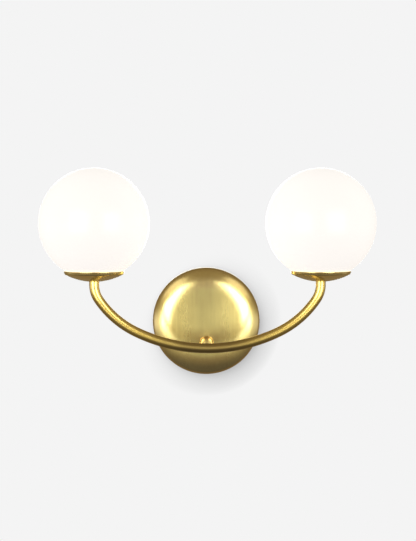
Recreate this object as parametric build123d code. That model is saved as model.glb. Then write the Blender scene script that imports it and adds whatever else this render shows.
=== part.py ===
from build123d import *
import math
import os

# A wall light with two glass globes on one bowed arm. Millimetres, +Z up.
# The origin is on the wall behind the middle of the backplate, and the room is on the -Y side.

# Hollow threaded rod that joins the tubes to what they carry
nipple_od = 10.0
nipple_wall = 1.5
thread_gap = 0.05
hole_gap = 0.2

# Arm
arm_half_span = 144.0
arm_out = 100.0
arm_rise = 85.2
arm_middle_angle = 26.0
arm_side_angle = 56.0
arm_end_radius = 34.0
arm_end_straight = 4.0
tube_wall = 1.2
braze_gap = 0.15

# Stem and its collar
stem_drop = 28.0
stem_wall = 1.35
stem_thread_depth = 12.0
stem_thread_spare = 1.0
collar_od = 18.4
collar_depth = 7.0
collar_round = 3.6

# Backplate
backplate_od = 142.0
backplate_wall = 1.2
skirt_depth = 5.0
shoulder_depth = 16.0
face_margin = 4.8

# Nuts and toothed washers on the threaded rods
nut_across_flats = 14.0
nut_height = 4.0
nut_chamfer = 0.7
washer_od = 16.0
washer_thickness = 1.6
washer_teeth = 12
washer_tooth_depth = 1.5
thread_end = 2.0

# Wall bracket
strap_thickness = 2.0
strap_width = 24.0
strap_bend = 2.0
ear_width = 14.0
ear_reach = 10.0
ear_gap = 0.8
ear_shoulder = 6.0
wire_hole = 12.0
box_spacing_small = 69.85
box_spacing_large = 88.9
slot_width = 4.8

# Grub screws at the sides of the backplate
side_screw_od = 4.0
side_screw_out = 6.0
side_screw_sunk = 0.4
side_screw_past = 1.0
hex_key = 2.0
hex_key_depth = 2.5

# Ground screw and the ring lugs of the ground lead
ground_screw_x = -24.0
ground_screw_od = 4.2
ground_head_od = 8.4
ground_head_height = 2.4
ground_slot_width = 1.0
ground_slot_depth = 1.1
lug_thickness = 1.0
lug_ring = 2.2
lug_barrel_od = 3.0
lug_barrel_length = 5.0
ground_lead_corner = -20.0

# Leads
lead_od = 2.0
lead_pitch = 2.5
lead_bend = 5.6
lead_turn = 6.0
canopy_bend = 4.0
canopy_lead_out = 6.4
lead_sweep_radius = 12.0
lead_spread_low = -16.0
lead_spread_high = 5.0

# Wire nuts
wire_nut_x = 14.0
wire_nut_low = 12.0
wire_nut_length = 18.0
wire_nut_mouth = 9.6
wire_nut_tip = 7.0
wire_nut_round = 1.8
wire_nut_skirt = 4.5
wire_nut_bore_depth = 13.0
wire_nut_flutes = 10
wire_nut_flute = 0.7
wire_gap = 0.3

# Shade cups
cup_od = 77.2
cup_wall = 1.2
dish_radius = 78.0
cup_seat_radius = 7.5
cup_lip_radius = 2.6
cup_lip_straight = 2.2
cup_lip_lean = 14.0
nipple_grip = 5.5

# Globes
globe_od = 141.0
glass_wall = 2.8
rim_gap = 2.1
neck_bore = 31.0
neck_wall = 3.0
shoulder_below_rim = 1.5
shoulder_round = 3.0
glass_edge_round = 0.8

# Fitters that the globes screw on to
fitter_ring_gap = 0.3
fitter_ring_wall = 2.2
fitter_ring_height = 7.6
flange_margin = 0.5
flange_thickness = 1.2
flange_gap = 0.35
hub_margin = 0.6
gasket_thickness = 1.0
gasket_margin = 0.2

# Sockets
socket_od = 20.0
socket_height = 20.0
socket_above_nipple = 8.0
socket_top_round = 1.0
bracket_sheet = 0.8
bracket_base_width = 16.0
bracket_leg_width = 10.0
bracket_bend = 0.6
nut_room = 0.4
rivet_od = 3.0
rivet_head_od = 5.0
rivet_head_height = 1.1
rivet_head_round = 0.9
rivet_depth = 2.5
rivet_above_base = 5.0
rivet_below_leg_top = 4.0
pin_spacing = 9.0
contact_od = 3.2
contact_length = 11.5
channel_gap = 0.1
lead_end_gap = 0.5
base_pocket_depth = 4.0
base_pocket_gap = 0.4

# Bulbs
pin_od = 1.0
pin_gap = 0.1
pin_length = 12.0
pin_tip_round = 0.4
base_width = 13.6
base_thickness = 8.0
base_od = 16.0
base_height = 9.0
base_round = 1.2
envelope_od = 19.0
envelope_height = 36.0
envelope_tip_round = 8.0

# Sizes that follow
nipple_bore = nipple_od - 2 * nipple_wall
thread_bore = nipple_od + 2 * thread_gap
clear_bore = nipple_od + 2 * hole_gap
tube_bore = nipple_od + 2 * braze_gap
tube_od = tube_bore + 2 * tube_wall
stem_od = nipple_od + 2 * stem_wall

arm_y = -arm_out
arm_low_z = -stem_drop
cup_base_z = arm_low_z + arm_rise

# The arm's middle and side bends are tangent, and their radii give its span and rise with the end bends
lamp_turn = math.pi / 2
side_turn = math.radians(arm_side_angle)
middle_turn = math.radians(arm_middle_angle)
bend_reach = arm_half_span - arm_end_radius * (1 - math.sin(side_turn))
bend_rise = arm_rise - arm_end_straight - arm_end_radius * math.cos(side_turn)
middle_reach = math.sin(middle_turn)
middle_rise = 1 - math.cos(middle_turn)
side_reach = math.sin(side_turn) - math.sin(middle_turn)
side_rise = math.cos(middle_turn) - math.cos(side_turn)
bend_share = middle_reach * side_rise - side_reach * middle_rise
arm_middle_radius = (bend_reach * side_rise - bend_rise * side_reach) / bend_share
arm_side_radius = (bend_rise * middle_reach - bend_reach * middle_rise) / bend_share

face_out = skirt_depth + shoulder_depth
face_radius = stem_drop + collar_od / 2 + face_margin
face_inner_out = face_out - backplate_wall
stem_washer_out = face_inner_out - washer_thickness
stem_nut_out = stem_washer_out - lug_thickness - nut_height
stem_nipple_out = stem_nut_out - thread_end
stem_start_out = face_out + collar_depth

dish_centre_z = cup_base_z + math.sqrt(dish_radius**2 - cup_seat_radius**2)
lip_lean = math.radians(cup_lip_lean)
lip_middle_radius = cup_lip_radius - cup_wall / 2
lip_reach = lip_middle_radius * math.cos(lip_lean) + cup_lip_straight * math.sin(lip_lean)
lip_rise = cup_lip_straight * math.cos(lip_lean) - lip_middle_radius * math.sin(lip_lean)
lip_centre_radius = (cup_od - cup_wall) / 2 - lip_reach
lip_angle = math.asin(lip_centre_radius / (dish_radius - cup_lip_radius))
lip_centre_z = dish_centre_z - (dish_radius - cup_lip_radius) * math.cos(lip_angle)
cup_rim_z = lip_centre_z + lip_rise
cup_floor_z = cup_base_z + cup_wall
cup_inner_radius = cup_od / 2 - cup_wall

neck_od = neck_bore + 2 * neck_wall
fitter_ring_od = neck_bore - 2 * fitter_ring_gap
fitter_ring_bore = fitter_ring_od - 2 * fitter_ring_wall
flange_od = neck_od + 2 * flange_margin
dish_under_flange = dish_centre_z - math.sqrt((dish_radius - cup_wall) ** 2 - (flange_od / 2) ** 2)
flange_z = dish_under_flange + flange_gap
fitter_floor_z = flange_z + flange_thickness
neck_z = fitter_floor_z + gasket_thickness
globe_radius = globe_od / 2
globe_centre_z = cup_rim_z + math.sqrt(globe_radius**2 - (cup_inner_radius - rim_gap) ** 2)
globe_shoulder_z = cup_rim_z - shoulder_below_rim

fitter_washer_z = fitter_floor_z + bracket_sheet
fitter_nut_z = fitter_washer_z + washer_thickness
arm_nipple_top_z = fitter_nut_z + nut_height + thread_end
socket_z = arm_nipple_top_z + socket_above_nipple
socket_top_z = socket_z + socket_height
nut_corner_radius = nut_across_flats / math.sqrt(3)
leg_inner_y = max(nut_corner_radius, washer_od / 2) + nut_room
leg_outer_y = leg_inner_y + bracket_sheet
leg_top_z = socket_z + rivet_above_base + rivet_below_leg_top
rivet_z = socket_z + rivet_above_base
channel_od = contact_od + 2 * channel_gap
pocket_z = socket_top_z - base_pocket_depth
contact_top_z = pocket_z - channel_gap
contact_z = contact_top_z - contact_length
base_body_z = socket_top_z + channel_gap

wire_offset = lead_pitch / 2
lower_canopy_bend = canopy_bend + lead_pitch
lower_lead_out = canopy_lead_out - lead_pitch
wire_nut_out = (canopy_lead_out + lower_lead_out) / 2

wall_frame = Plane.XZ
left, right = -1, 1


# Helpers


def turned(*outline):
    """Turn a closed outline, drawn as radius across and height up, about the Z axis."""
    return revolve(Plane.XZ * make_face(outline), Axis.Z)


def ring(outer, inner, low, high):
    """A plain ring about Z, by its two diameters."""
    return Pos(0, 0, low) * extrude(Circle(outer / 2) - Circle(inner / 2), high - low)


def rod(diameter, low, high):
    """A plain rod about Z."""
    return Pos(0, 0, low) * extrude(Circle(diameter / 2), high - low)


def on_wall(piece, x=0, z=0):
    """Stand a piece that is drawn along +Z out from the wall."""
    return Pos(x, 0, z) * (wall_frame * piece)


def on_lamp(piece, side):
    """Put a piece that is drawn about Z on the axis of one lamp."""
    return Pos(side * arm_half_span, arm_y, 0) * piece


def swept(path, radius):
    """A round bar along a path."""
    return sweep(Plane(origin=path @ 0, z_dir=path % 0) * Circle(radius), path=path)


# Threaded hardware


def locknut(low):
    """A hexagon nut with its corners turned off at both faces."""
    high = low + nut_height
    flat = nut_across_flats / 2
    blank = RegularPolygon(flat, 6, major_radius=False) - Circle(thread_bore / 2)
    barrel = turned(
        Polyline(
            (0, low),
            (flat, low),
            (nut_corner_radius, low + nut_chamfer),
            (nut_corner_radius, high - nut_chamfer),
            (flat, high),
            (0, high),
            (0, low),
        )
    )
    return Pos(0, 0, low) * extrude(blank, nut_height) & barrel


def lock_washer(low):
    """A washer with teeth round its outside."""
    notch = Rectangle(2 * washer_tooth_depth, math.pi * washer_od / (2 * washer_teeth))
    blank = Circle(washer_od / 2) - Circle(clear_bore / 2)
    blank -= PolarLocations(washer_od / 2, washer_teeth) * notch
    return Pos(0, 0, low) * extrude(blank, washer_thickness)


# Wall bracket and its screws


def shoulder_radius_at(out, wall):
    """Radius of the backplate's shoulder at a distance from the wall, for its outside or its inside."""
    depth = shoulder_depth - wall
    across = backplate_od / 2 - wall - face_radius
    return face_radius + across * math.sqrt(1 - (max(out - skirt_depth, 0) / depth) ** 2)


ear_corner = shoulder_radius_at(ear_reach, backplate_wall)
ear_face_x = math.sqrt(ear_corner**2 - (ear_width / 2) ** 2) - ear_gap
slot_x = (box_spacing_large + box_spacing_small) / 4
slot_length = (box_spacing_large - box_spacing_small) / 2 + slot_width


def wall_bracket():
    """The strap on the wall box, bent up into a tapped ear at each end."""
    bent = Pos(0, strap_thickness / 2) * Rectangle(2 * ear_face_x, strap_thickness)
    for side in (left, right):
        ear = Rectangle(strap_thickness, ear_reach)
        bent += Pos(side * (ear_face_x - strap_thickness / 2), ear_reach / 2) * ear
    inside = [v for v in bent.vertices() if abs(v.Y - strap_thickness) < strap_thickness / 4]
    bent = fillet(inside, strap_bend)
    outside = [v for v in bent.vertices() if abs(v.Y) < strap_thickness / 4]
    bent = fillet(outside, strap_bend + strap_thickness)
    strap = Rot(0, 0, 180) * extrude(bent, strap_width / 2, both=True)

    plan = Rectangle(2 * (ear_face_x - ear_shoulder), strap_width)
    plan += Rectangle(2 * ear_face_x, ear_width)
    for side in (left, right):
        plan -= Pos(side * slot_x, 0) * SlotOverall(slot_length, slot_width)
    plan -= Circle(wire_hole / 2)
    plan -= Pos(ground_screw_x, 0) * Circle(ground_screw_od / 2 + thread_gap)
    strap = strap & wall_frame * extrude(plan, ear_reach)

    tapped = Rot(0, 90, 0) * Cylinder(side_screw_od / 2 + thread_gap, 2 * ear_face_x)
    return strap - Pos(0, -side_screw_out, 0) * tapped


def backplate_screws():
    """Two grub screws, sunk in the skirt and driven into the ears."""
    outer_x = shoulder_radius_at(side_screw_out, 0) - side_screw_sunk
    inner_x = ear_face_x - strap_thickness - side_screw_past
    screw = rod(side_screw_od, inner_x, outer_x)
    key = RegularPolygon(hex_key / 2, 6, major_radius=False)
    screw -= Pos(0, 0, outer_x - hex_key_depth) * extrude(key, hex_key_depth)
    return [Pos(0, -side_screw_out, 0) * Rot(0, side * 90, 0) * screw for side in (left, right)]


def ground_screw():
    """A slotted screw on the strap, with its end flush behind."""
    seat = strap_thickness + lug_thickness
    screw = rod(ground_screw_od, 0, seat) + rod(ground_head_od, seat, seat + ground_head_height)
    slot = Box(ground_head_od, ground_slot_width, 2 * ground_slot_depth)
    screw -= Pos(0, 0, seat + ground_head_height) * slot
    return on_wall(screw, ground_screw_x)


# Backplate, collar and stem


def backplate():
    """A spun plate: flat face, elliptical shoulder and short straight skirt, open at the back."""
    outer, inner = backplate_od / 2, backplate_od / 2 - backplate_wall
    centre = (face_radius, skirt_depth)
    outside = EllipticalCenterArc(centre, outer - face_radius, shoulder_depth, arc_size=90)
    inside_depth = shoulder_depth - backplate_wall
    inside = EllipticalCenterArc(centre, inner - face_radius, inside_depth, arc_size=90)
    shell = turned(
        Line((outer, 0), (outer, skirt_depth)),
        outside,
        Line((face_radius, face_out), (0, face_out)),
        Line((0, face_out), (0, face_inner_out)),
        Line((0, face_inner_out), (face_radius, face_inner_out)),
        inside,
        Line((inner, skirt_depth), (inner, 0)),
        Line((inner, 0), (outer, 0)),
    )
    shell -= Pos(0, -stem_drop) * rod(clear_bore, 0, 2 * face_out)
    shell = on_wall(shell)
    screw_hole = Rot(0, 90, 0) * Cylinder(side_screw_od / 2 + hole_gap, backplate_od)
    return shell - Pos(0, -side_screw_out, 0) * screw_hole


def stem_collar():
    """The bead between the backplate and the stem."""
    collar = ring(collar_od, clear_bore, face_out, stem_start_out)
    rim = collar.edges().filter_by(GeomType.CIRCLE).sort_by(Axis.Z)[-2:].sort_by(SortBy.RADIUS)[-1]
    return on_wall(fillet(rim, collar_round), 0, -stem_drop)


def arm_point(side, turn, lift=0):
    """A point of the arm by the angle it has turned from its middle, lifted off the centre line."""
    centre_x = 0
    centre_z = arm_low_z + arm_middle_radius
    radius = arm_middle_radius
    for next_radius, next_turn in ((arm_side_radius, middle_turn), (arm_end_radius, side_turn)):
        if turn > next_turn:
            centre_x += (radius - next_radius) * math.sin(next_turn)
            centre_z -= (radius - next_radius) * math.cos(next_turn)
            radius = next_radius
    reach = radius - lift
    return Vector(side * (centre_x + reach * math.sin(turn)), arm_y, centre_z - reach * math.cos(turn))


def arm_bends(side, turns, lift=0, shift=0):
    """The arcs between those angles on one half of the arm, or beside its centre line."""
    to_wall = Vector(0, shift, 0)
    arcs = []
    for first, last in zip(turns, turns[1:]):
        points = [arm_point(side, turn, lift) + to_wall for turn in (first, (first + last) / 2, last)]
        arcs.append(ThreePointArc(*points))
    return arcs


def arm_route():
    """Centre line of the arm, from the left end over the low middle to the right end."""
    straight = Vector(0, 0, arm_end_straight)
    left_turn = arm_point(left, lamp_turn)
    right_turn = arm_point(right, lamp_turn)
    middle = [arm_point(left, middle_turn), arm_point(left, 0), arm_point(right, middle_turn)]
    return Wire(
        [
            Line(left_turn + straight, left_turn),
            *arm_bends(left, (lamp_turn, side_turn, middle_turn)),
            ThreePointArc(*middle),
            *arm_bends(right, (middle_turn, side_turn, lamp_turn)),
            Line(right_turn, right_turn + straight),
        ]
    )


def arm():
    """The bowed tube, with a hole at the back of its middle for the leads."""
    route = arm_route()
    tube = swept(route, tube_od / 2) - swept(route, tube_bore / 2)
    lead_hole = on_wall(rod(nipple_bore, arm_out - tube_od, arm_out), 0, -stem_drop)
    return tube - lead_hole


def stem():
    """A bored rod, tapped at the wall end and shaped to the tube at the other."""
    bar = ring(stem_od, nipple_bore, stem_start_out, arm_out)
    bar -= rod(thread_bore, stem_start_out, stem_start_out + stem_thread_depth)
    return on_wall(bar, 0, -stem_drop) - swept(arm_route(), tube_od / 2 + braze_gap)


def stem_nipple():
    """Threaded rod from inside the backplate into the stem."""
    front = stem_start_out + stem_thread_depth - stem_thread_spare
    return on_wall(ring(nipple_od, nipple_bore, stem_nipple_out, front), 0, -stem_drop)


# Wiring


def lead(side, toward_wall, is_line):
    """One insulated wire from a socket, along the arm and stem, to its wire nut."""
    lift = -side * wire_offset
    shift = wire_offset if toward_wall else -wire_offset
    bend = lead_bend if toward_wall else lead_bend + lead_pitch
    stem_x = wire_offset if toward_wall else -wire_offset

    reach = arm_middle_radius - lift
    start = math.atan2(bend, reach) + math.asin(stem_x / math.hypot(reach, bend))
    leave = arm_point(side, start, lift) + Vector(0, shift, 0)
    along = Vector(-side * math.cos(start), 0, -math.sin(start))
    to_wall = Vector(0, 1, 0)
    half_turn = math.cos(math.pi / 4)
    turn_middle = leave + along * bend * half_turn + to_wall * bend * (1 - half_turn)
    in_stem = leave + along * bend + to_wall * bend

    polarity = 1 if is_line else -1
    socket_x = side * arm_half_span + polarity * pin_spacing / 2
    tube_x = side * (arm_half_span - lift)
    lead_top = contact_z - lead_end_gap
    rise = FilletPolyline(
        (socket_x, arm_y, lead_top),
        (socket_x, arm_y, socket_z - lead_od / 2),
        (tube_x, arm_y + shift, arm_nipple_top_z),
        (tube_x, arm_y + shift, cup_base_z),
        radius=lead_turn,
    )
    top = arm_point(side, lamp_turn, lift) + Vector(0, shift, 0)

    is_upper = lift > 0
    corner_out = canopy_lead_out if is_upper else lower_lead_out
    corner_bend = canopy_bend if is_upper else lower_canopy_bend
    nut_x = polarity * wire_nut_x
    lead_end = wire_nut_low + wire_nut_bore_depth - wire_gap
    canopy = FilletPolyline(
        (in_stem.X, -face_out, in_stem.Z),
        (in_stem.X, -corner_out, in_stem.Z),
        (in_stem.X, -corner_out, lead_spread_low),
        (nut_x, -corner_out, lead_spread_high),
        (nut_x, -corner_out, lead_end),
        radius=(corner_bend, lead_sweep_radius, lead_sweep_radius),
    )
    route = Wire(
        [
            *rise.edges(),
            Line((tube_x, arm_y + shift, cup_base_z), top),
            *arm_bends(side, (lamp_turn, side_turn, middle_turn, start), lift, shift),
            ThreePointArc(leave, turn_middle, in_stem),
            Line(in_stem, (in_stem.X, -face_out, in_stem.Z)),
            *canopy.edges(),
        ]
    )
    return swept(route, lead_od / 2)


def line_leads():
    """The live wire of each lamp."""
    return [lead(left, False, True), lead(right, True, True)]


def neutral_leads():
    """The return wire of each lamp."""
    return [lead(left, True, False), lead(right, False, False)]


def ground_lead():
    """A wire from a ring lug under the stem's nut to one under the ground screw."""
    stem_lug_out = stem_washer_out - lug_thickness
    stem_lug_od = clear_bore + 2 * lug_ring
    screw_lug_bore = ground_screw_od + 2 * hole_gap
    screw_lug_od = screw_lug_bore + 2 * lug_ring
    stem_ring = ring(stem_lug_od, clear_bore, stem_lug_out, stem_washer_out)
    screw_ring = ring(screw_lug_od, screw_lug_bore, strap_thickness, strap_thickness + lug_thickness)

    stem_wire_x = -washer_od / 2 - lead_od / 2
    stem_wire_out = stem_lug_out + lug_thickness / 2
    screw_wire_out = strap_thickness + lug_barrel_od / 2 + thread_gap
    screw_wire_z = -screw_lug_od / 2 - lug_thickness
    route = FilletPolyline(
        (stem_wire_x, -stem_wire_out, -stem_drop),
        (ground_screw_x, -stem_wire_out, -stem_drop),
        (ground_screw_x, -screw_wire_out, ground_lead_corner),
        (ground_screw_x, -screw_wire_out, screw_wire_z),
        radius=lead_turn,
    )
    wire = swept(Wire(route.edges()), lead_od / 2)

    stem_tongue = Box(lug_barrel_length, lug_thickness, lug_barrel_od)
    screw_tongue = Box(lug_barrel_od, lug_thickness, lug_barrel_length)
    barrel = Cylinder(lug_barrel_od / 2, lug_barrel_length)
    stem_barrel = Rot(0, 90, 0) * barrel
    lead_wire = wire + on_wall(stem_ring, 0, -stem_drop) + on_wall(screw_ring, ground_screw_x)
    lead_wire += Pos(stem_wire_x + lug_barrel_length / 4, -stem_wire_out, -stem_drop) * stem_tongue
    lead_wire += Pos(stem_wire_x - lug_barrel_length / 2, -stem_wire_out, -stem_drop) * stem_barrel
    screw_tongue_out = strap_thickness + lug_thickness / 2
    lead_wire += Pos(ground_screw_x, -screw_tongue_out, screw_wire_z) * screw_tongue
    lead_wire += Pos(ground_screw_x, -screw_wire_out, screw_wire_z - lug_barrel_length / 2) * barrel
    return lead_wire


def wire_nuts():
    """Two fluted twist-on caps, one on the line leads and one on the neutral leads."""
    high = wire_nut_low + wire_nut_length
    bore = lead_pitch + lead_od + 2 * wire_gap
    cap = turned(
        Polyline(
            (0, wire_nut_low),
            (wire_nut_mouth / 2, wire_nut_low),
            (wire_nut_tip / 2, high),
            (0, high),
            (0, wire_nut_low),
        )
    )
    top = cap.edges().sort_by(Axis.Z)[-1]
    cap = fillet(top, wire_nut_round)
    flute = rod(2 * wire_nut_flute, wire_nut_low + wire_nut_skirt, high)
    cap -= PolarLocations(wire_nut_mouth / 2, wire_nut_flutes) * flute
    cap -= rod(bore, wire_nut_low, wire_nut_low + wire_nut_bore_depth)
    return [Pos(side * wire_nut_x, -wire_nut_out, 0) * cap for side in (left, right)]


# Lamp ends


def shade_cup():
    """A spun dish with a flat seat and a turned-up lip that leans out a little."""
    radius_in = dish_radius - cup_wall
    lip_in = cup_lip_radius - cup_wall
    seat_in = math.sqrt(radius_in**2 - (dish_centre_z - cup_floor_z) ** 2)
    lip_start = 90 - math.degrees(lip_angle)
    lip_sweep = lip_start - cup_lip_lean

    def dish_arc(radius, seat):
        seat_angle = math.degrees(math.asin(seat / radius))
        arc_angle = math.degrees(lip_angle) - seat_angle
        return CenterArc((0, dish_centre_z), radius, seat_angle - 90, arc_angle)

    def lip_arc(radius):
        return CenterArc((lip_centre_radius, lip_centre_z), radius, -lip_start, lip_sweep)

    def lip_point(radius, along):
        across = lip_centre_radius + radius * math.cos(lip_lean) + along * math.sin(lip_lean)
        height = lip_centre_z - radius * math.sin(lip_lean) + along * math.cos(lip_lean)
        return (across, height)

    hole = clear_bore / 2
    outer_edge = lip_point(cup_lip_radius, cup_lip_straight)
    inner_edge = lip_point(lip_in, cup_lip_straight)
    rim_top = lip_point(lip_middle_radius, cup_lip_straight + cup_wall / 2)
    return turned(
        Line((hole, cup_base_z), (cup_seat_radius, cup_base_z)),
        dish_arc(dish_radius, cup_seat_radius),
        lip_arc(cup_lip_radius),
        Line(lip_point(cup_lip_radius, 0), outer_edge),
        ThreePointArc(outer_edge, rim_top, inner_edge),
        Line(inner_edge, lip_point(lip_in, 0)),
        lip_arc(lip_in),
        dish_arc(radius_in, seat_in),
        Line((seat_in, cup_floor_z), (hole, cup_floor_z)),
        Line((hole, cup_floor_z), (hole, cup_base_z)),
    )


def arm_nipple():
    """Threaded rod from the tube's end up through the cup and the fitter."""
    return ring(nipple_od, nipple_bore, cup_base_z - nipple_grip, arm_nipple_top_z)


def globe_fitter():
    """The flange under the glass, standing on a hub in the cup."""
    hub = rod(2 * (cup_seat_radius - hub_margin), cup_floor_z, flange_z)
    flange = rod(flange_od, flange_z, fitter_floor_z)
    return hub + flange - rod(clear_bore, cup_floor_z, fitter_floor_z)


def fitter_ring():
    """The threaded ring brazed on the flange, which the globe screws on to."""
    return ring(fitter_ring_od, fitter_ring_bore, fitter_floor_z, fitter_floor_z + fitter_ring_height)


def globe_gasket():
    """A flat ring between the flange and the glass."""
    return ring(neck_od + 2 * gasket_margin, neck_bore, fitter_floor_z, neck_z)


def globe():
    """A blown ball with a flattened underside and a short neck."""
    centre = Pos(0, 0, globe_centre_z)

    def ball(radius, flat_z, rounding):
        below = 2 * radius
        cut = Pos(0, 0, flat_z - below / 2) * Box(below, below, below)
        solid = centre * Sphere(radius) - cut
        return fillet(solid.edges().filter_by(GeomType.CIRCLE).sort_by(Axis.Z)[0], rounding)

    outside = ball(globe_radius, globe_shoulder_z, shoulder_round)
    outside += rod(neck_od, neck_z, globe_shoulder_z)
    inner_flat = globe_shoulder_z + glass_wall
    inside = ball(globe_radius - glass_wall, inner_flat, shoulder_round)
    inside += rod(neck_bore, neck_z, inner_flat)
    glass = outside - inside
    mouth = glass.edges().filter_by(GeomType.CIRCLE).group_by(Axis.Z)[0]
    return fillet(mouth, glass_edge_round)


def socket_bracket():
    """A strip under the nut, bent up into two legs that hold the socket."""
    height = leg_top_z - fitter_floor_z
    bent = Pos(0, bracket_sheet / 2) * Rectangle(2 * leg_outer_y, bracket_sheet)
    leg = Rectangle(bracket_sheet, height)
    for side in (left, right):
        bent += Pos(side * (leg_outer_y - bracket_sheet / 2), height / 2) * leg
    corners = [v for v in bent.vertices() if abs(v.Y) < bracket_sheet / 4]
    bent = fillet(corners, bracket_bend)
    strip = extrude(Plane.YZ * bent, bracket_base_width / 2, both=True)
    waist = fitter_nut_z + nut_height
    for side in (left, right):
        relief_x = (bracket_base_width + bracket_leg_width) / 4
        relief_width = (bracket_base_width - bracket_leg_width) / 2
        relief = Box(relief_width, 3 * leg_outer_y, leg_top_z - waist)
        strip -= Pos(side * relief_x, 0, (leg_top_z + waist) / 2 - fitter_floor_z) * relief
    strip = Pos(0, 0, fitter_floor_z) * strip
    strip -= rod(clear_bore, fitter_floor_z, fitter_washer_z)
    rivet_hole = Rot(90, 0, 0) * Cylinder(rivet_od / 2 + thread_gap, 3 * leg_outer_y)
    return strip - Pos(0, 0, rivet_z) * rivet_hole


def socket():
    """The ceramic body: two flats for the legs, two pin channels and a pocket for the bulb's base."""
    blank = Circle(socket_od / 2) & Rectangle(socket_od, 2 * leg_inner_y)
    body = Pos(0, 0, socket_z) * extrude(blank, socket_height)
    body = fillet(body.edges().group_by(Axis.Z)[-1], socket_top_round)
    pocket_width = base_width + 2 * base_pocket_gap
    pocket_depth = base_thickness + 2 * base_pocket_gap
    body -= Pos(0, 0, pocket_z + socket_height / 2) * Box(pocket_width, pocket_depth, socket_height)
    for side in (left, right):
        body -= Pos(side * pin_spacing / 2, 0, 0) * rod(channel_od, socket_z, socket_top_z)
        hole = rod(rivet_od + 2 * thread_gap, leg_inner_y - rivet_depth, leg_outer_y)
        body -= Pos(0, 0, rivet_z) * Rot(-90 * side, 0, 0) * hole
    return body


def socket_contacts():
    """Two spring sleeves that grip the bulb's pins, split along one side."""
    sleeve = ring(contact_od, pin_od + 2 * pin_gap, contact_z, contact_top_z)
    split = Box(pin_od / 2, contact_od, contact_length)
    split = Pos(0, -contact_od / 2, contact_z + contact_length / 2) * split
    return [Pos(side * pin_spacing / 2, 0, 0) * (sleeve - split) for side in (left, right)]


def socket_rivets():
    """Domed rivets that hold each socket between its bracket's legs."""
    shank = rod(rivet_od, leg_inner_y - rivet_depth + thread_gap, leg_outer_y)
    head = rod(rivet_head_od, leg_outer_y, leg_outer_y + rivet_head_height)
    rivet = shank + fillet(head.edges().sort_by(Axis.Z)[-1], rivet_head_round)
    rivets = [Pos(0, 0, rivet_z) * Rot(90 * side, 0, 0) * rivet for side in (left, right)]
    return [on_lamp(rivet, side) for side in (left, right) for rivet in rivets]


# Bulbs


def bulb_base():
    """The foot that sits in the socket's pocket, and the round body above it."""
    foot_low = pocket_z + channel_gap
    foot = Pos(0, 0, foot_low) * extrude(Rectangle(base_width, base_thickness), base_body_z - foot_low)
    body = rod(base_od, base_body_z, base_body_z + base_height)
    body = fillet(body.edges().filter_by(GeomType.CIRCLE), base_round)
    return foot + body


def bulb_envelope():
    """The frosted cover over the light source, round at the top."""
    low = base_body_z + base_height
    cover = rod(envelope_od, low, low + envelope_height)
    return fillet(cover.edges().sort_by(Axis.Z)[-1], envelope_tip_round)


def bulb_pins():
    """Two straight pins with rounded ends."""
    foot_low = pocket_z + channel_gap
    pin = rod(pin_od, foot_low - pin_length, foot_low)
    pin = fillet(pin.edges().filter_by(GeomType.CIRCLE).sort_by(Axis.Z)[0], pin_tip_round)
    return [Pos(side * pin_spacing / 2, 0, 0) * pin for side in (left, right)]


# The assembly

pieces = {
    "wall_bracket": wall_bracket(),
    "backplate": backplate(),
    "backplate_screws": backplate_screws(),
    "ground_screw": ground_screw(),
    "stem_collar": stem_collar(),
    "stem": stem(),
    "stem_nipple": stem_nipple(),
    "stem_lock_washer": on_wall(lock_washer(stem_washer_out), 0, -stem_drop),
    "stem_locknut": on_wall(locknut(stem_nut_out), 0, -stem_drop),
    "arm": arm(),
    "line_leads": line_leads(),
    "neutral_leads": neutral_leads(),
    "ground_lead": ground_lead(),
    "wire_nuts": wire_nuts(),
    "socket_rivets": socket_rivets(),
}
lamp_pieces = {
    "shade_cup": shade_cup(),
    "arm_nipple": arm_nipple(),
    "globe_fitter": globe_fitter(),
    "fitter_ring": fitter_ring(),
    "fitter_lock_washer": lock_washer(fitter_washer_z),
    "fitter_locknut": locknut(fitter_nut_z),
    "socket_bracket": socket_bracket(),
    "socket": socket(),
    "socket_contacts": socket_contacts(),
    "globe_gasket": globe_gasket(),
    "globe": globe(),
    "bulb_base": bulb_base(),
    "bulb_envelope": bulb_envelope(),
    "bulb_pins": bulb_pins(),
}
for side_name, side in (("left", left), ("right", right)):
    for name, piece in lamp_pieces.items():
        solids = piece if isinstance(piece, list) else [piece]
        pieces[f"{side_name}_{name}"] = [on_lamp(solid, side) for solid in solids]

os.makedirs("parts", exist_ok=True)
for name, piece in pieces.items():
    solids = piece if isinstance(piece, list) else [piece]
    export_step(Compound(solids) if len(solids) > 1 else solids[0], f"parts/{name}.step")
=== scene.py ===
import math

import bpy
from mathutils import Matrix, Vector


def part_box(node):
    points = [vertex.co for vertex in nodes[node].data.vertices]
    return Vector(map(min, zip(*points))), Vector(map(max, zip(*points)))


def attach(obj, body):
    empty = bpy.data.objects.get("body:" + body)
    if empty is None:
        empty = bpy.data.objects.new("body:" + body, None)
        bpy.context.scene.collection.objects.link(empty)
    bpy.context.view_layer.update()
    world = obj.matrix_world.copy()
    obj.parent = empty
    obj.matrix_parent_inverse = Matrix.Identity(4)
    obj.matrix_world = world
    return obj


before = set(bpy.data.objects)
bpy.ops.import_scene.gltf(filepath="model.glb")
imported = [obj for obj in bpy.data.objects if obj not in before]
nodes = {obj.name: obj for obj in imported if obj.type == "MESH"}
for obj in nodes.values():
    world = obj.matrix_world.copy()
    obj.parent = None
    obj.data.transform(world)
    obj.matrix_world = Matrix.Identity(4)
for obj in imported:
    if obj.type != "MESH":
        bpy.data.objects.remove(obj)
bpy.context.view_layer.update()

scene = bpy.context.scene

# Measures shared with the part, in metres

ARM_HALF_SPAN = 0.144
ARM_Y = -0.100
STEM_Z = -0.028
RIM_STARTS = 0.065
RIM_ENDS = 0.0705
GLOBE_REACH = 0.070
GLOBE_LOW = 0.070
GLOBE_HIGH = 0.200
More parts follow.
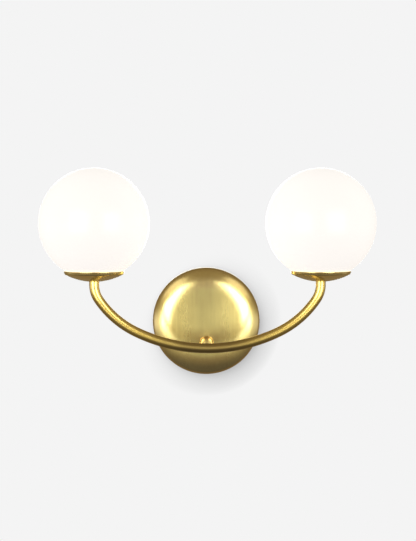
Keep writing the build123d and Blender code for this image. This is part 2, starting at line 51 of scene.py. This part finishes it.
# Each bend of one half of the arm: the x and z of its centre, its radius, and the angle at which it ends
ARM_BENDS = (
    (0.0, 0.1790, 0.2070, 26.0),
    (0.0375, 0.1021, 0.1214, 56.0),
    (0.110, 0.0532, 0.034, None),
)


# Camera

IMAGE_LONG_SIDE = 541
PIXELS_PER_RADIAN = 1653.5
SENSOR = 36.0
CAMERA_PLACE = (-0.040, -2.198, 0.1627)
CAMERA_LOOKS_DOWN = 2.5
CAMERA_TURNS = -1.106
camera_data = bpy.data.cameras.new("camera")
camera_data.sensor_width = SENSOR
camera_data.lens = PIXELS_PER_RADIAN / IMAGE_LONG_SIDE * SENSOR
camera = bpy.data.objects.new("camera", camera_data)
scene.collection.objects.link(camera)
camera.location = CAMERA_PLACE
camera.rotation_euler = (math.radians(90 - CAMERA_LOOKS_DOWN), 0, math.radians(CAMERA_TURNS))
scene.camera = camera

scene.view_settings.view_transform = "Standard"
scene.view_settings.look = "None"


# Node helpers


class Shader:
    """A small wrapper that adds nodes to one material and links them."""

    def __init__(self, name):
        self.material = bpy.data.materials.new(name)
        self.material.use_nodes = True
        self.tree = self.material.node_tree
        self.surface = self.tree.nodes["Principled BSDF"]

    def node(self, kind, **settings):
        made = self.tree.nodes.new(kind)
        for key, value in settings.items():
            setattr(made, key, value)
        return made

    def link(self, output, socket):
        self.tree.links.new(output, socket)

    def set(self, **values):
        """Sets constants on the surface's own sockets."""
        for key, value in values.items():
            self.surface.inputs[key.replace("_", " ")].default_value = value

    def feed(self, socket, output):
        """Links an output to one of the surface's sockets."""
        self.link(output, self.surface.inputs[socket])

    def position(self):
        return self.node("ShaderNodeTexCoord").outputs["Object"]

    def place(self):
        """The position as separate X, Y and Z."""
        made = self.node("ShaderNodeSeparateXYZ")
        self.link(self.position(), made.inputs[0])
        return made.outputs

    def math(self, operation, first, second=None):
        made = self.node("ShaderNodeMath", operation=operation)
        for socket, value in zip(made.inputs, (first, second)):
            if value is None:
                continue
            if isinstance(value, (int, float)):
                socket.default_value = value
            else:
                self.link(value, socket)
        return made.outputs[0]

    def weighted(self, first, first_weight, second, second_weight):
        """The weighted sum of two values."""
        return self.math(
            "ADD",
            self.math("MULTIPLY", first, first_weight),
            self.math("MULTIPLY", second, second_weight),
        )

    def from_middle(self):
        """How far a point lies to the left or right of the part's middle."""
        return self.math("ABSOLUTE", self.place()["X"])

    def stretched(self, scale):
        made = self.node("ShaderNodeMapping")
        made.inputs["Scale"].default_value = scale
        self.link(self.position(), made.inputs["Vector"])
        return made.outputs[0]

    def noise(self, scale, detail=3.0, vector=None):
        made = self.node("ShaderNodeTexNoise")
        made.inputs["Scale"].default_value = scale
        made.inputs["Detail"].default_value = detail
        self.link(vector or self.position(), made.inputs["Vector"])
        return made.outputs[0]

    def ramp(self, factor, low, high, start=0.0, end=1.0):
        """A value that goes from low to high while the factor goes from start to end."""
        made = self.node("ShaderNodeMapRange")
        made.inputs["From Min"].default_value = start
        made.inputs["From Max"].default_value = end
        made.inputs["To Min"].default_value = low
        made.inputs["To Max"].default_value = high
        self.link(factor, made.inputs["Value"])
        return made.outputs[0]

    def spread(self, pattern, low, high):
        """A value from low to high over the middle range of a noise pattern."""
        return self.ramp(pattern, low, high, 0.3, 0.7)

    def blend_colours(self, factor, low, high, start=0.3, end=0.7):
        made = self.node("ShaderNodeValToRGB")
        made.color_ramp.elements[0].position = start
        made.color_ramp.elements[0].color = (*low, 1)
        made.color_ramp.elements[1].position = end
        made.color_ramp.elements[1].color = (*high, 1)
        self.link(factor, made.inputs["Fac"])
        return made.outputs[0]

    def mix_colours(self, factor, first, second):
        made = self.node("ShaderNodeMix", data_type="RGBA")
        self.link(factor, made.inputs["Factor"])
        self.link(first, made.inputs["A"])
        made.inputs["B"].default_value = (*second, 1)
        return made.outputs["Result"]

    def glow_only(self):
        """A glow that is seen and mirrored but isn't searched as a lamp, which keeps the metal clean."""
        self.material.cycles.emission_sampling = "NONE"

    def bump(self, height, distance, strength):
        made = self.node("ShaderNodeBump")
        made.inputs["Strength"].default_value = strength
        made.inputs["Distance"].default_value = distance
        self.link(height, made.inputs["Height"])
        self.feed("Normal", made.outputs[0])


def axis_distance(shader, centre, plane, mirrored=False):
    """Distance from an axis, so that a pattern runs in rings or along a bend."""
    place = shader.place()
    total = None
    for letter, offset in zip(plane, centre):
        value = place[letter]
        if letter == "X" and mirrored:
            value = shader.math("ABSOLUTE", value)
        value = shader.math("SUBTRACT", value, offset)
        square = shader.math("MULTIPLY", value, value)
        total = square if total is None else shader.math("ADD", total, square)
    return shader.math("SQRT", total), place


def arm_offset(shader):
    """Distance above or below the arm's centre line, so that a pattern runs along all of its bends."""
    offset = None
    for x, z, radius, end_angle in reversed(ARM_BENDS):
        distance, place = axis_distance(shader, (x, z), "XZ", mirrored=True)
        here = shader.math("SUBTRACT", distance, radius)
        if offset is None:
            offset = here
            continue
        across = shader.math("SUBTRACT", shader.math("ABSOLUTE", place["X"]), x)
        below = shader.math("SUBTRACT", z, place["Z"])
        angle = shader.math("ARCTAN2", across, below)
        beyond = shader.math("GREATER_THAN", angle, math.radians(end_angle))
        step = shader.math("MULTIPLY", shader.math("SUBTRACT", offset, here), beyond)
        offset = shader.math("ADD", here, step)
    return offset, place


# Brass

BRASS_LIGHT = (0.88, 0.68, 0.20)
BRASS_DARK = (0.76, 0.56, 0.140)
# Painted shade: the darker brown painted at the backplate's rim
RIM_SHADE_COLOUR = (0.48, 0.29, 0.060)
# Painted shade: the darker colour painted in the middle of the arm
ARM_MIDDLE_SHADE_COLOUR = (0.24, 0.16, 0.045)
PLAIN = (1, 1, 1)
# Painted shade: darker, browner copies of the brass for the arm and the collar
ARM_PAINTED_SHADE = (0.84, 0.77, 0.64)
COLLAR_PAINTED_SHADE = (0.92, 0.72, 0.45)
LACQUER_IOR = 2.1
# Scales of the polishing lines and of the clouds in metal and lacquer
FINE_LINES = 2600
BROAD_LINES = 420
CLOUDS = 26
VEIL = 16
LINE_LENGTHENING = 0.05
LINE_DEPTH = 0.00004
# How far the painted shade at the backplate's rim and in the middle of the arm and the haze go, and
# between which places they fade
RIM_SHADE_AMOUNT = 0.55
ARM_MIDDLE_SHADE_AMOUNT = 0.75
MIDDLE_SHADE_FULL = 0.030
MIDDLE_SHADE_GONE = 0.090
SIDE_HAZE = 0.110
HAZE_STARTS = 0.008
HAZE_FULL = 0.046


def shaded(colour, shade):
    return [part * cut for part, cut in zip(colour, shade)]


def polishing_lines(shader, grain):
    """Coordinates in which the polishing lines of one kind of piece lie straight."""
    if grain == "upright":
        return shader.stretched((1, 1, LINE_LENGTHENING))
    if grain == "rings_at_lamp":
        radius, place = axis_distance(shader, (ARM_HALF_SPAN, ARM_Y), "XY", mirrored=True)
        across = place["Z"]
    elif grain == "along_bow":
        radius, place = arm_offset(shader)
        across = place["Y"]
    else:
        radius, place = axis_distance(shader, (0.0, STEM_Z), "XZ")
        across = place["Y"]
    join = shader.node("ShaderNodeCombineXYZ")
    shader.link(radius, join.inputs[0])
    shader.link(across, join.inputs[1])
    return join.outputs[0]


def rim_painted_shade(shader, colour):
    """Painted shade: the backplate is painted a darker brown towards its rim."""
    radius, _ = axis_distance(shader, (0.0, 0.0), "XZ")
    return shader.mix_colours(shader.ramp(radius, 0.0, RIM_SHADE_AMOUNT, RIM_STARTS, RIM_ENDS), colour, RIM_SHADE_COLOUR)


def side_haze(shader):
    """The backplate's polish turns to a softer satin towards its left and right sides."""
    return shader.ramp(shader.from_middle(), 0.0, SIDE_HAZE, HAZE_STARTS, HAZE_FULL)


def arm_middle_painted_shade(shader, colour):
    """Painted shade: the middle of the arm is painted darker than its ends, standing in for the darker
    reflections there.
    """
    shade_amount = shader.ramp(shader.from_middle(), ARM_MIDDLE_SHADE_AMOUNT, 0.0, MIDDLE_SHADE_FULL, MIDDLE_SHADE_GONE)
    return shader.mix_colours(shade_amount, colour, ARM_MIDDLE_SHADE_COLOUR)


def brass(name, grain, roughness=0.20, coat=1.0, lacquer=0.22, relief=0.35, fineness=1.0, shade=PLAIN):
    """Lacquered brass; grain names the run of the polishing lines, and shade is a painted shade that
    darkens and tints the metal of one piece.
    """
    shader = Shader(name)
    shader.set(Metallic=1.0, Coat_Weight=coat, Coat_Roughness=lacquer, Coat_IOR=LACQUER_IOR)
    lines = polishing_lines(shader, grain)
    fine = shader.noise(FINE_LINES * fineness, 2.0, lines)
    broad = shader.noise(BROAD_LINES * fineness, 3.0, lines)
    cloud = shader.noise(CLOUDS, 4.0)
    veil = shader.noise(VEIL, 2.0)
    tone = shader.weighted(broad, 0.45, cloud, 0.55)
    colour = shader.blend_colours(tone, shaded(BRASS_DARK, shade), shaded(BRASS_LIGHT, shade), 0.36, 0.62)
    streak = shader.weighted(fine, 0.4, veil, 0.6)
    haze = shader.spread(streak, roughness - 0.03, roughness + 0.04)
    if grain == "upright":
        # Painted shade: darker brown towards the backplate's rim
        colour = rim_painted_shade(shader, colour)
        haze = shader.math("ADD", haze, side_haze(shader))
    if grain == "along_bow":
        # Painted shade in the middle of the arm
        colour = arm_middle_painted_shade(shader, colour)
    shader.feed("Base Color", colour)
    shader.feed("Roughness", haze)
    shader.bump(shader.weighted(fine, 1.0, broad, 1.5), LINE_DEPTH, relief)
    return shader.material


# Plate, plastic, ceramic and glass

SPANGLE = 240
PLATE_HAZE = 900
PLATE_GRAIN = 1500
PLATE_GRAIN_DEPTH = 0.00006
MOULD_CLOUDS = 130
MOULD_GRAIN = 1100
MOULD_GRAIN_DEPTH = 0.00008
BULB_GLOW = (1.0, 0.93, 0.80, 1)
BULB_GLOW_STRENGTH = 0.62
GLASS_DARK = (0.90, 0.89, 0.87)
GLASS_LIGHT = (0.95, 0.945, 0.93)
GLASS_SWIRL = 9
GLASS_HAZE = 60
GLASS_RIPPLE = 22
GLASS_RIPPLE_DEPTH = 0.0006
# Painted light: the globes' glow is warmer low down and towards the wall, cooler at the top, and stronger
# away from the front
GLOW_LOW = (0.99, 0.955, 0.95)
GLOW_HIGH = (0.955, 0.965, 1.0)
GLOW_TO_WALL = (1.0, 0.94, 0.84)
GLOW_FRONT = 0.700
GLOW_SIDES = 0.760


def plated(name, light, dark, roughness=0.35):
    """Zinc or nickel plate with a faint mottle."""
    shader = Shader(name)
    shader.set(Metallic=1.0)
    shader.feed("Base Color", shader.blend_colours(shader.noise(SPANGLE, 5.0), dark, light))
    shader.feed("Roughness", shader.spread(shader.noise(PLATE_HAZE), roughness - 0.1, roughness + 0.14))
    shader.bump(shader.noise(PLATE_GRAIN, 2.0), PLATE_GRAIN_DEPTH, 0.12)
    return shader.material


def moulded(name, light, dark, roughness, grain_scale=MOULD_GRAIN, depth=MOULD_GRAIN_DEPTH, glow=0.0):
    """Plastic, rubber or ceramic with a fine surface grain; a lit piece has a warm glow."""
    shader = Shader(name)
    if glow:
        shader.set(Emission_Color=BULB_GLOW, Emission_Strength=glow)
        shader.glow_only()
    shader.feed("Base Color", shader.blend_colours(shader.noise(MOULD_CLOUDS, 4.0), dark, light))
    grain = shader.noise(grain_scale, 3.0)
    shader.feed("Roughness", shader.spread(grain, roughness - 0.08, roughness + 0.1))
    shader.bump(grain, depth, 0.4)
    return shader.material


def opal_glass(name):
    """White cased glass, lit from within; its glow is painted warmer low down and on the side that faces
    the wall, cooler at the top, and stronger away from its front.
    """
    shader = Shader(name)
    shader.set(Specular_IOR_Level=0.12, Coat_Weight=0.08, Coat_Roughness=0.2, Coat_IOR=1.5)
    place = shader.place()
    swirl = shader.noise(GLASS_SWIRL, 2.0)
    shader.feed("Base Color", shader.blend_colours(swirl, GLASS_DARK, GLASS_LIGHT))
    height = shader.ramp(place["Z"], 0.0, 1.0, GLOBE_LOW, GLOBE_HIGH)
    glow = shader.blend_colours(height, GLOW_LOW, GLOW_HIGH, 0.0, 1.0)
    to_wall = shader.ramp(place["Y"], 0.0, 1.0, ARM_Y, ARM_Y + GLOBE_REACH)
    shader.feed("Emission Color", shader.mix_colours(to_wall, glow, GLOW_TO_WALL))
    strength = shader.ramp(place["Y"], GLOW_FRONT, GLOW_SIDES, ARM_Y - GLOBE_REACH, ARM_Y)
    shader.feed("Emission Strength", strength)
    shader.feed("Roughness", shader.spread(shader.noise(GLASS_HAZE), 0.26, 0.34))
    shader.bump(shader.noise(GLASS_RIPPLE, 2.0), GLASS_RIPPLE_DEPTH, 0.08)
    shader.glow_only()
    return shader.material


# Finish of each piece

materials = {
    "backplate": brass("backplate_brass", "upright", roughness=0.21, lacquer=0.26),
    "stem_collar": brass("collar_brass", "rings_at_stem", roughness=0.12, coat=0.5, shade=COLLAR_PAINTED_SHADE),
    "stem": brass("stem_brass", "rings_at_stem"),
    "arm": brass(
        "arm_brass", "along_bow", roughness=0.31, coat=0.4, relief=0.05, fineness=0.25, shade=ARM_PAINTED_SHADE,
    ),
    "shade_cup": brass("cup_brass", "rings_at_lamp"),
    "globe_fitter": brass("fitter_brass", "rings_at_lamp", roughness=0.30, coat=0.0),
    "backplate_screws": brass("screw_brass", "rings_at_stem", roughness=0.28, coat=0.0),
    "zinc": plated("zinc_plate", (0.74, 0.75, 0.76), (0.58, 0.59, 0.61)),
    "nickel": plated("nickel_plate", (0.80, 0.78, 0.73), (0.68, 0.66, 0.62), 0.24),
    "nut": plated("nut_brass", (0.80, 0.62, 0.28), (0.66, 0.49, 0.20), 0.32),
    "green_screw": plated("green_dyed_steel", (0.12, 0.46, 0.18), (0.06, 0.32, 0.11), 0.38),
    "black_lead": moulded("black_silicone", (0.030, 0.030, 0.032), (0.018, 0.018, 0.019), 0.50),
    "white_lead": moulded("white_silicone", (0.82, 0.82, 0.80), (0.74, 0.74, 0.71), 0.50),
    "green_lead": moulded("green_vinyl", (0.07, 0.36, 0.12), (0.04, 0.26, 0.08), 0.42),
    "wire_nut": moulded("orange_nylon", (0.85, 0.31, 0.04), (0.72, 0.24, 0.03), 0.48),
    "ceramic": moulded(
        "steatite", (0.86, 0.83, 0.76), (0.78, 0.75, 0.68), 0.55, grain_scale=700, depth=0.00012,
    ),
    "bulb_base": moulded("bulb_base_ceramic", (0.90, 0.90, 0.88), (0.83, 0.83, 0.81), 0.34),
    "bulb_cover": moulded(
        "frosted_cover", (0.95, 0.93, 0.88), (0.90, 0.88, 0.83), 0.40,
        grain_scale=900, depth=0.00005, glow=BULB_GLOW_STRENGTH,
    ),
    "gasket": moulded("silicone_ring", (0.80, 0.80, 0.77), (0.71, 0.71, 0.68), 0.62),
    "globe": opal_glass("opal_glass"),
}
# Pieces whose finish has another name than the piece
finish_of = {
    "wall_bracket": "zinc",
    "ground_screw": "green_screw",
    "stem_nipple": "zinc",
    "stem_lock_washer": "zinc",
    "stem_locknut": "nut",
    "line_leads": "black_lead",
    "neutral_leads": "white_lead",
    "ground_lead": "green_lead",
    "wire_nuts": "wire_nut",
    "arm_nipple": "zinc",
    "fitter_ring": "globe_fitter",
    "fitter_lock_washer": "zinc",
    "fitter_locknut": "nut",
    "globe_gasket": "gasket",
    "socket_bracket": "zinc",
    "socket_rivets": "nickel",
    "socket": "ceramic",
    "socket_contacts": "nickel",
    "bulb_envelope": "bulb_cover",
    "bulb_pins": "nickel",
}
for name, node in nodes.items():
    piece = name.removeprefix("left_").removeprefix("right_")
    node.data.materials.clear()
    node.data.materials.append(materials[finish_of.get(piece, piece)])


# Braze seams and threads, which the solids leave plain

BEAD_STEPS = 40
BEAD_ROUNDNESS = 3
BEAD_TIP = 0.1
BEAD_TAPER_STEPS = 10
BRAZE_BEAD = 0.00045
SEAM_ANGLE = 150
THREAD_STEPS = 48
NIPPLE_PITCH = 0.00094
GLOBE_PITCH = 0.004
NIPPLE_RIDGE = 0.00022
GLOBE_RIDGE = 0.00030
RIDGE_SHOWN = 0.6
Y_AXIS = 1
Z_AXIS = 2


def bead(name, points, thickness, finish):
    """A round bead along points that runs out to nothing at both ends."""
    curve = bpy.data.curves.new(name, "CURVE")
    curve.dimensions = "3D"
    curve.bevel_depth = thickness
    curve.bevel_resolution = BEAD_ROUNDNESS
    curve.use_fill_caps = True
    curve.materials.append(materials[finish])
    line = curve.splines.new("POLY")
    line.points.add(len(points) - 1)
    for index, (point, place) in enumerate(zip(line.points, points)):
        from_end = min(index, len(points) - 1 - index)
        point.co = (*place, 1)
        point.radius = min(1.0, BEAD_TIP + from_end / BEAD_TAPER_STEPS)
    piece = bpy.data.objects.new(name, curve)
    scene.collection.objects.link(piece)
    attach(piece, "fixture")


def thread(rod, after, axis, pitch, ridge, finish):
    """A right-handed rolled thread on the part of a rod or ring that shows after the piece next to it."""
    low, high = (Vector(corner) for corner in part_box(rod))
    centre = (low + high) / 2
    radius = (high.x - low.x) / 2 - ridge * (1 - RIDGE_SHOWN)
    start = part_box(after)[1][axis] + ridge
    length = high[axis] - ridge - start
    count = round(length / pitch * THREAD_STEPS)
    first, second = (axis + 1) % 3, (axis + 2) % 3
    points = []
    for step in range(count + 1):
        angle = step / THREAD_STEPS * 2 * math.pi
        place = centre.copy()
        place[axis] = start + length * step / count
        place[first] += radius * math.cos(angle)
        place[second] += radius * math.sin(angle)
        points.append(place)
    bead(rod + "_thread", points, ridge, finish)


def braze_seam(side, name):
    """The seam on one side of the stem, where its coped end is brazed to the arm."""
    low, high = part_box("stem")
    radius = (high[0] - low[0]) / 2
    points = []
    for step in range(BEAD_STEPS + 1):
        angle = math.radians(SEAM_ANGLE * (step / BEAD_STEPS - 0.5))
        across = radius * math.cos(angle)
        points.append((side * across, ARM_Y + across, STEM_Z + radius * math.sin(angle)))
    bead(name, points, BRAZE_BEAD, "stem")


def nipple_thread(rod, nut, axis):
    thread(rod, nut, axis, NIPPLE_PITCH, NIPPLE_RIDGE, "zinc")


def ring_thread(ring, gasket):
    thread(ring, gasket, Z_AXIS, GLOBE_PITCH, GLOBE_RIDGE, "globe_fitter")


braze_seam(-1, "stem_braze_left")
braze_seam(1, "stem_braze_right")
nipple_thread("stem_nipple", "stem_locknut", Y_AXIS)
for hand in ("left", "right"):
    nipple_thread(hand + "_arm_nipple", hand + "_fitter_locknut", Z_AXIS)
    ring_thread(hand + "_fitter_ring", hand + "_globe_gasket")


# Stage

WALL_Y = 0.0008
WALL_TOP = 3
FLOOR_Z = -1.5
HALF_WIDTH = 4
HALF_DEPTH = 6
PALE = 0.905
SHADE = 0.40
SHADOW_REACH = 0.030
SHADOW_FULL = 0.35
TOWARDS_LAMP = (-0.54, -0.62, 0.57)
FLOOR_TINT = (1, 0.99, 0.98, 1)
FLOOR_DARK = 0.76
FLOOR_LIGHT = 0.80
FLOOR_MOTTLE = 3


def stage_plane(name, corners, material):
    mesh = bpy.data.meshes.new(name)
    mesh.from_pydata([Vector(c) for c in corners], [], [range(len(corners))])
    plane = bpy.data.objects.new(name, mesh)
    plane.data.materials.append(material)
    plane.visible_diffuse = False
    plane.visible_glossy = False
    scene.collection.objects.link(plane)
    return plane


def wall_paint():
    """Pale even wall with the soft shadow of a lamp up on the left; it is open from behind."""
    shader = Shader("wall_paint")
    shader.set(Base_Color=(0, 0, 0, 1), Specular_IOR_Level=0.0, Emission_Color=(1, 1, 1, 1))
    lean = shader.node("ShaderNodeCombineXYZ")
    for socket, value in zip(lean.inputs, TOWARDS_LAMP):
        socket.default_value = value
    shade = shader.node("ShaderNodeAmbientOcclusion", samples=16)
    shade.inputs["Distance"].default_value = SHADOW_REACH
    shader.link(lean.outputs[0], shade.inputs["Normal"])
    shader.feed("Emission Strength", shader.ramp(shade.outputs["AO"], SHADE, PALE, SHADOW_FULL, 1.0))
    clear = shader.node("ShaderNodeBsdfTransparent")
    side = shader.node("ShaderNodeNewGeometry")
    mix = shader.node("ShaderNodeMixShader")
    shader.link(side.outputs["Backfacing"], mix.inputs[0])
    shader.link(shader.surface.outputs[0], mix.inputs[1])
    shader.link(clear.outputs[0], mix.inputs[2])
    shader.link(mix.outputs[0], shader.tree.nodes["Material Output"].inputs["Surface"])
    shader.glow_only()
    return shader.material


def floor_paint():
    """Pale floor with a faint mottle."""
    shader = Shader("floor_paint")
    shader.set(Base_Color=(0, 0, 0, 1), Specular_IOR_Level=0.0, Emission_Color=FLOOR_TINT)
    shader.feed("Emission Strength", shader.spread(shader.noise(FLOOR_MOTTLE), FLOOR_DARK, FLOOR_LIGHT))
    shader.glow_only()
    return shader.material


wall_corners = [
    (-HALF_WIDTH, WALL_Y, FLOOR_Z),
    (HALF_WIDTH, WALL_Y, FLOOR_Z),
    (HALF_WIDTH, WALL_Y, WALL_TOP),
    (-HALF_WIDTH, WALL_Y, WALL_TOP),
]
floor_corners = [
    (-HALF_WIDTH, -HALF_DEPTH, FLOOR_Z),
    (HALF_WIDTH, -HALF_DEPTH, FLOOR_Z),
    (HALF_WIDTH, HALF_DEPTH, FLOOR_Z),
    (-HALF_WIDTH, HALF_DEPTH, FLOOR_Z),
]
wall = stage_plane("wall", wall_corners, wall_paint())
wall.visible_shadow = False
stage_plane("floor", floor_corners, floor_paint())


# Light

SOFT_WHITE = (0.95, 1.0, 0.97)
LIGHT_TARGET = (0, -0.05, 0.03)
LEFT_SOFTBOX = (-0.58, -0.95, 0.18)
RIGHT_SOFTBOX = (0.56, -0.95, 0.18)
SOFTBOX_WIDTH = 0.66
SOFTBOX_HEIGHT = 0.72
SOFTBOX_RADIANCE = 6.0
FILL_PLACE = (0, 2.3, 0.3)
FILL_WIDTH = 1.6
FILL_HEIGHT = 1.2
FILL_RADIANCE = 2.0


def softbox(name, place, width, height, radiance):
    light = bpy.data.lights.new(name, "AREA")
    light.shape = "RECTANGLE"
    light.size = width
    light.size_y = height
    light.energy = radiance * math.pi * width * height
    light.color = SOFT_WHITE
    lamp = bpy.data.objects.new(name, light)
    lamp.location = place
    lamp.rotation_euler = (Vector(LIGHT_TARGET) - Vector(place)).to_track_quat("-Z", "Y").to_euler()
    lamp.visible_camera = False
    scene.collection.objects.link(lamp)
    return lamp


for name, place in (("softbox_left", LEFT_SOFTBOX), ("softbox_right", RIGHT_SOFTBOX)):
    lamp = softbox(name, place, SOFTBOX_WIDTH, SOFTBOX_HEIGHT, SOFTBOX_RADIANCE)
    lamp.visible_diffuse = False
softbox("fill_behind", FILL_PLACE, FILL_WIDTH, FILL_HEIGHT, FILL_RADIANCE)


# The room that the metal mirrors

DOWN = (0.115, 0.105, 0.10)
DIM = (0.23, 0.185, 0.13)
CEILING = (0.30, 0.245, 0.165)
BAND = (0.38, 0.39, 0.285)
SIDES = (1.3, 1.29, 1.25)
BEHIND = (0.24, 0.18, 0.095)
OFF = (0, 0, 0)
LESS = (0.65, 0.65, 0.65)
ON = (1, 1, 1)
# Stops of a direction's X, Y and Z, each with what lies there
SIDE_STOPS = ((-1, ON), (-0.55, ON), (-0.10, OFF), (0.10, OFF), (0.55, LESS), (1, LESS))
DEPTH_STOPS = ((-1, OFF), (0.15, OFF), (0.55, ON), (1, ON))
LOW_STOPS = ((-1, DOWN), (-0.8, DOWN), (-0.36, DIM))
BAND_LOW = -0.16
BAND_HIGH = 0.0
HIGH_STOPS = ((0.13, CEILING), (1, CEILING))

world = bpy.data.worlds.new("studio")
scene.world = world
world.use_nodes = True
tree = world.node_tree
tree.nodes.clear()
direction = tree.nodes.new("ShaderNodeSeparateXYZ")
tree.links.new(tree.nodes.new("ShaderNodeTexCoord").outputs["Generated"], direction.inputs[0])


def gradient(letter, stops):
    """A colour ramp over one part of a direction, from stops of a place and a colour."""
    spread = tree.nodes.new("ShaderNodeMapRange")
    spread.inputs["From Min"].default_value = -1
    spread.inputs["From Max"].default_value = 1
    tree.links.new(direction.outputs[letter], spread.inputs["Value"])
    ramp = tree.nodes.new("ShaderNodeValToRGB")
    while len(ramp.color_ramp.elements) < len(stops):
        ramp.color_ramp.elements.new(0.5)
    for element, (place, colour) in zip(ramp.color_ramp.elements, stops):
        element.position = (place + 1) / 2
        element.color = (*colour, 1)
    tree.links.new(spread.outputs[0], ramp.inputs["Fac"])
    return ramp.outputs[0]


def mixed(factor, first, second):
    """Two colours of the room, blended by a direction."""
    made = tree.nodes.new("ShaderNodeMix")
    made.data_type = "RGBA"
    tree.links.new(factor, made.inputs["Factor"])
    for socket, value in (("A", first), ("B", second)):
        if isinstance(value, tuple):
            made.inputs[socket].default_value = (*value, 1)
        else:
            tree.links.new(value, made.inputs[socket])
    return made.outputs["Result"]


def layers(band):
    """The room from the floor up, with a band of one colour level with the part."""
    return gradient("Z", (*LOW_STOPS, (BAND_LOW, band), (BAND_HIGH, band), *HIGH_STOPS))


front = mixed(gradient("X", SIDE_STOPS), layers(BAND), layers(SIDES))
room = tree.nodes.new("ShaderNodeBackground")
tree.links.new(mixed(gradient("Y", DEPTH_STOPS), front, BEHIND), room.inputs["Color"])
backdrop = tree.nodes.new("ShaderNodeBackground")
backdrop.inputs["Color"].default_value = (PALE, PALE, PALE, 1)
ray = tree.nodes.new("ShaderNodeLightPath")
choice = tree.nodes.new("ShaderNodeMixShader")
tree.links.new(ray.outputs["Is Camera Ray"], choice.inputs[0])
tree.links.new(room.outputs[0], choice.inputs[1])
tree.links.new(backdrop.outputs[0], choice.inputs[2])
tree.links.new(choice.outputs[0], tree.nodes.new("ShaderNodeOutputWorld").inputs["Surface"])
